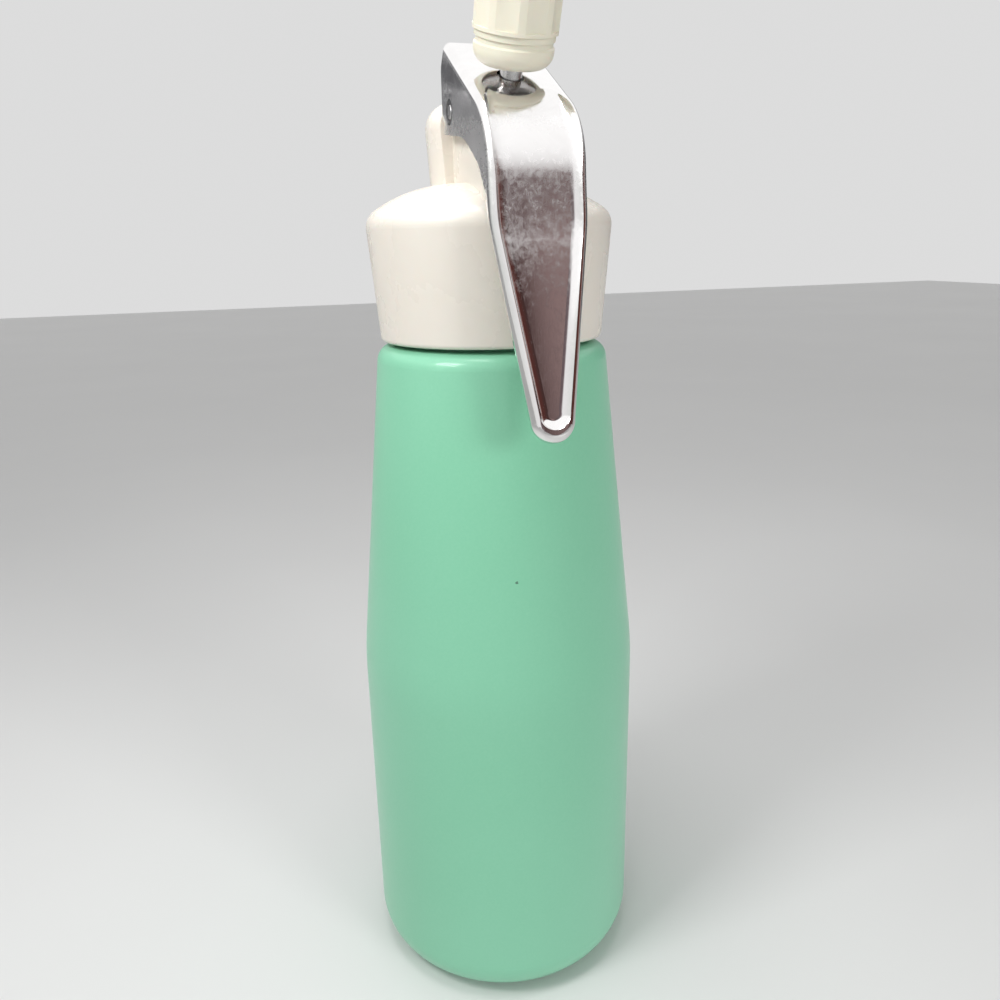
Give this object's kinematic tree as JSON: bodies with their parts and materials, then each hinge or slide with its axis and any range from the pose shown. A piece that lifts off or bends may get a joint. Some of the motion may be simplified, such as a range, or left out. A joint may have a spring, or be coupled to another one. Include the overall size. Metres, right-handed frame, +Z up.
{
  "type": "whipped cream dispenser",
  "caption": "Table bottle that whips and dispenses cream under gas pressure: enamelled bottle, plastic screw-on head with gas inlet, polished squeeze lever, push-down valve and fluted nozzle.",
  "frame": {"origin": "centre of the ring that the bottle stands on", "axes": "+Z up the bottle's axis, -Y towards the lever and nozzle, +Y towards the charger inlet, X along the lever's pivot"},
  "size_m": [0.0804, 0.0904, 0.3035],
  "materials": {
    "enamel": "soft gloss mint enamel",
    "head_plastic": "glossy off-white",
    "machined_aluminium": "machined",
    "silicone": "matte food-grade silicone",
    "steel": "turned",
    "spring_steel": "drawn wire",
    "polished_steel": "mirror polish",
    "bush_plastic": "natural acetal",
    "nozzle_plastic": "ivory, semi-gloss"
  },
  "bodies": {
    "bottle": {"bottle": "enamel"},
    "head": {"head_cover": "head_plastic", "head_insert": "machined_aluminium", "head_gasket": "silicone", "valve_body": "steel", "valve_washer": "silicone", "valve_nut": "steel", "stem_seal": "silicone", "lever_pin": "steel", "charger_port": "machined_aluminium", "charger_seal": "silicone", "piercing_pin": "steel", "gas_tube": "steel", "check_valve": "silicone", "valve_spring": "spring_steel"},
    "lever": {"lever": "polished_steel", "lever_bushes": "bush_plastic"},
    "stem": {"valve_stem": "steel", "stem_collar": "steel", "valve_disc": "steel", "valve_seal": "silicone", "nozzle_adapter": "steel", "nozzle_seal": "silicone"},
    "nozzle": {"nozzle": "nozzle_plastic"}
  },
  "joints": [
    {"name": "head_lift", "type": "slide", "parent": "bottle", "child": "head", "axis": [0, 0, 1], "range_m": [0, 0.06]},
    {"name": "lever_squeeze", "type": "hinge", "parent": "head", "child": "lever", "pos_m": [0, -0.0076, 0.2452], "axis": [1, 0, 0], "range_deg": [0, 5], "stiffness_Nm_per_rad": 0.8, "springref_deg": -11.46},
    {"name": "stem_slide", "type": "slide", "parent": "head", "child": "stem", "axis": [0, 0.3746, -0.9272], "range_m": [0, 0.0011], "deforming": ["valve_spring"]},
    {"name": "nozzle_off", "type": "slide", "parent": "stem", "child": "nozzle", "axis": [0, -0.3746, 0.9272], "range_m": [0, 0.02]}
  ],
  "couplings": [
    {"joint": "stem_slide", "follows": "lever_squeeze", "m_per_rad": 0.0126}
  ]
}
